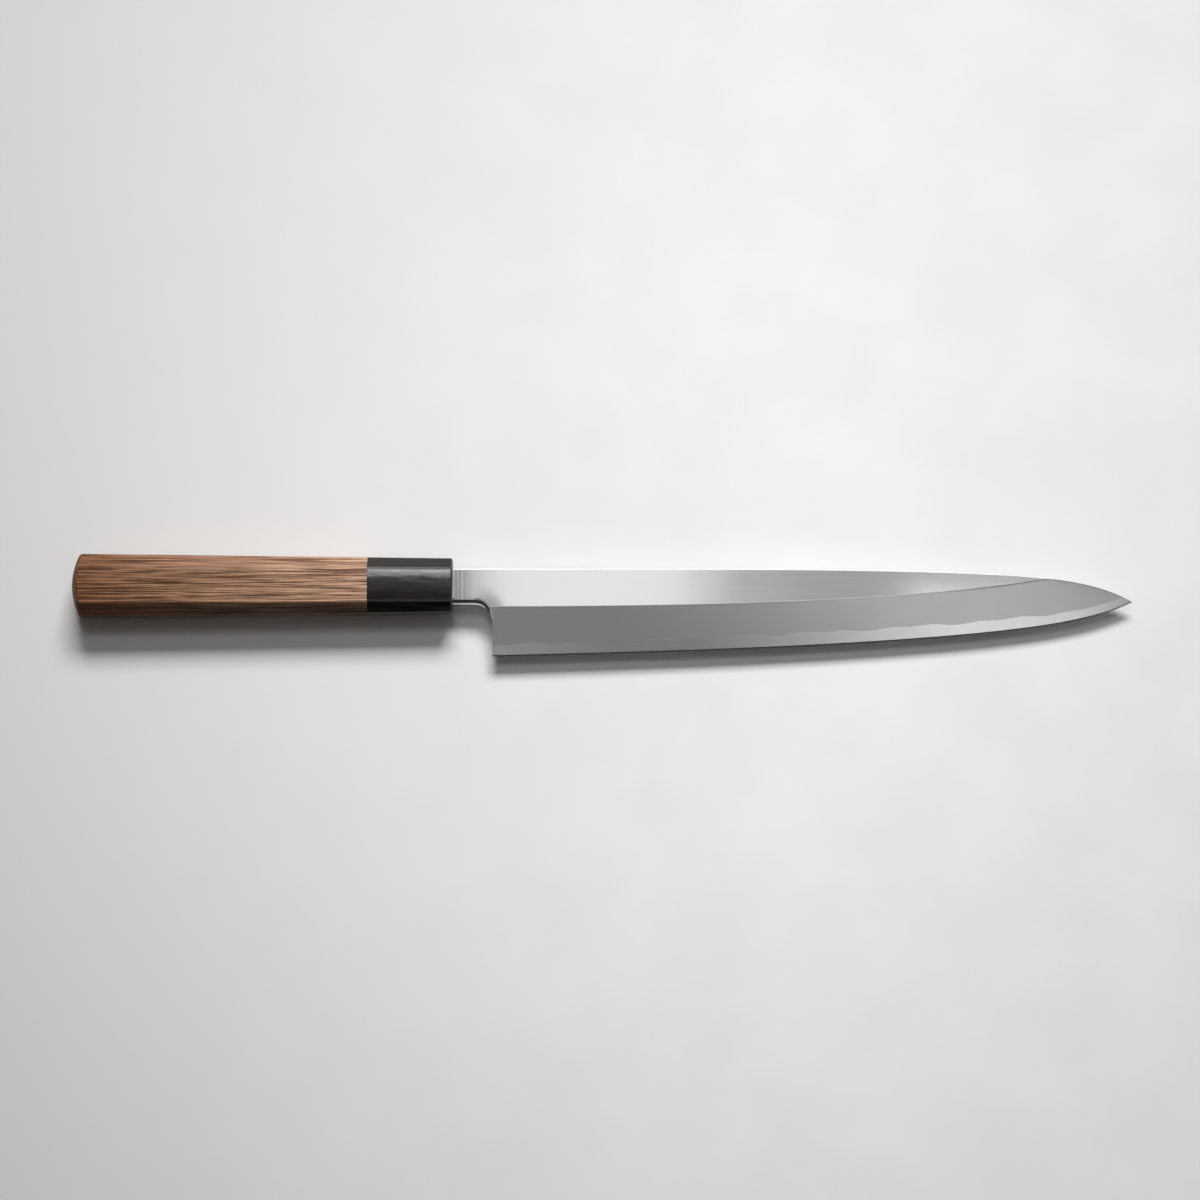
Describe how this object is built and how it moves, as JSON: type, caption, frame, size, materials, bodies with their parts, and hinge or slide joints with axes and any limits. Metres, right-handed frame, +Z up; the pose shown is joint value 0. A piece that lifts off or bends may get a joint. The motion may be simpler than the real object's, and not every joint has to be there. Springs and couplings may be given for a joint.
{
  "type": "yanagiba knife",
  "caption": "Long single-bevel slicing knife: laminated blade with hollow-ground back, tang bedded in an octagonal walnut handle with a black ferrule.",
  "frame": {"origin": "middle of the flat on the underside of the grip, which lies on the table", "axes": "+X along the knife towards the point, +Y towards the spine, +Z up out of the bevelled side of the blade"},
  "size_m": [0.3968, 0.0382, 0.0214],
  "materials": {
    "soft_iron": "satin, hazy on the bevel",
    "hard_steel": "fine stone polish",
    "black_horn": "polished horn",
    "walnut": "sanded and oiled",
    "dowel_wood": "plain",
    "bedding_resin": "cast resin",
    "seal_resin": "cast resin"
  },
  "bodies": {
    "root": {"blade_body": "soft_iron", "edge_steel": "hard_steel", "ferrule": "black_horn", "grip": "walnut", "tang_dowel": "dowel_wood", "tang_bedding": "bedding_resin", "mouth_seal": "seal_resin"}
  },
  "joints": []
}
